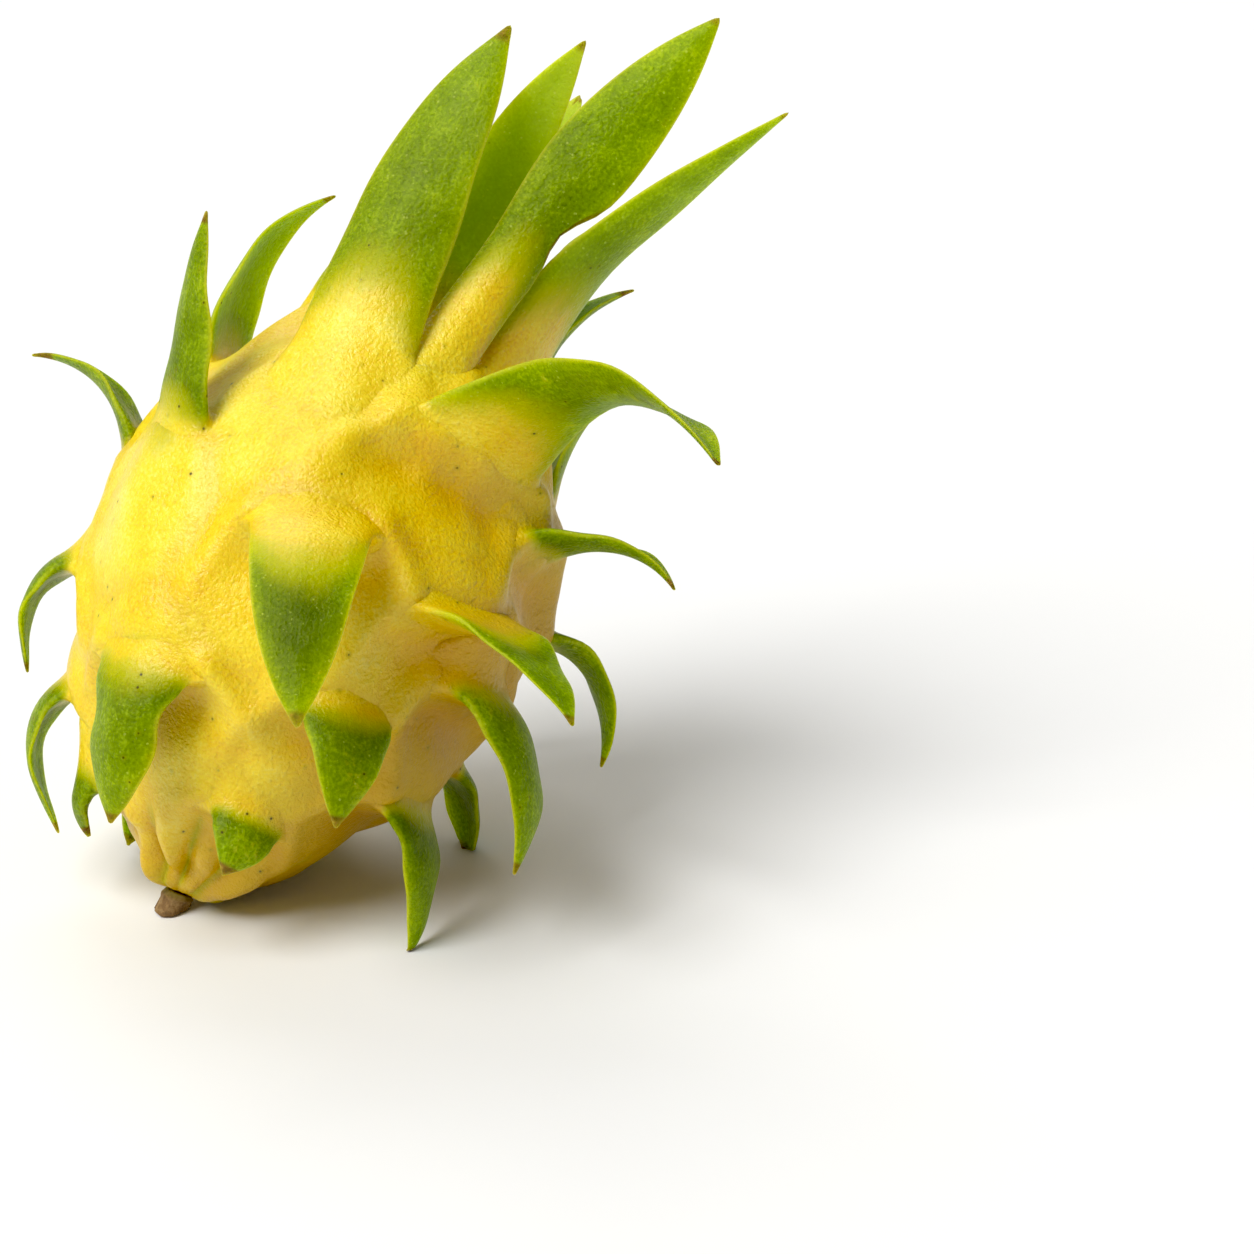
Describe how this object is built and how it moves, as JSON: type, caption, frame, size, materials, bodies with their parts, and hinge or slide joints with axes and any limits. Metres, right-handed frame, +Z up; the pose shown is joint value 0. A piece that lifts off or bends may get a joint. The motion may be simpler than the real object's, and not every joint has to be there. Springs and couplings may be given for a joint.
{
  "type": "yellow dragon fruit",
  "caption": "Plump yellow dragon fruit with long green-tipped scales, standing tilted on its stem stub and lower scales, with a crown of upright leaves.",
  "frame": {"origin": "the middle of the bounding box's bottom, on the table the fruit stands on", "axes": "+Z up from the table; the front of the picture faces -Y and its right is +X; the fruit's own axis leans to +X and +Y"},
  "size_m": [0.1534, 0.1654, 0.1718],
  "materials": {
    "fruit": "waxy yellow skin, its scales turning green towards brown dry tips",
    "stem_stub": "corky cut stem",
    "dried_flower": "withered brown flower"
  },
  "bodies": {
    "root": {"fruit": "fruit", "stem_stub": "stem_stub", "dried_flower": "dried_flower"}
  },
  "joints": []
}
